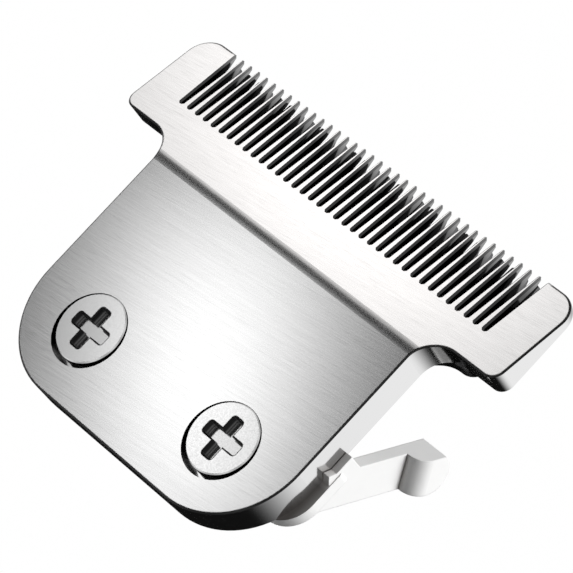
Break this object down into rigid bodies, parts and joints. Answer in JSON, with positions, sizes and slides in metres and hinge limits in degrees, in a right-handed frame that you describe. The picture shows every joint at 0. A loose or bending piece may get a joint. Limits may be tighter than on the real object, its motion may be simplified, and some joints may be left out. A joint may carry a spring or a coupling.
{
  "type": "hair trimmer blade set",
  "caption": "T-shaped steel comb with a fine tooth row, a cutter sliding sideways under it, and a white moulded holder with snap legs.",
  "frame": {"origin": "on the holder's underside, midway between the two screw bosses", "axes": "+X along the tooth row, +Y towards the tooth tips, +Z out of the comb's upper face"},
  "size_m": [0.0402, 0.0278, 0.0105],
  "materials": {
    "comb_steel": "brushed along the tooth row",
    "cutter_steel": "ground, dark",
    "holder_plastic": "smooth white moulding",
    "block_plastic": "smooth black moulding",
    "spring_wire": "drawn wire",
    "screw_steel": "polished"
  },
  "bodies": {
    "frame": {"comb_blade": "comb_steel", "blade_holder": "holder_plastic", "tension_spring": "spring_wire", "screw_left": "screw_steel", "screw_right": "screw_steel"},
    "cutter": {"cutter_blade": "cutter_steel", "drive_block": "block_plastic"}
  },
  "joints": [
    {"name": "cutter_slide", "type": "slide", "parent": "frame", "child": "cutter", "axis": [1, 0, 0], "range_m": [-0.0012, 0.0012]}
  ]
}
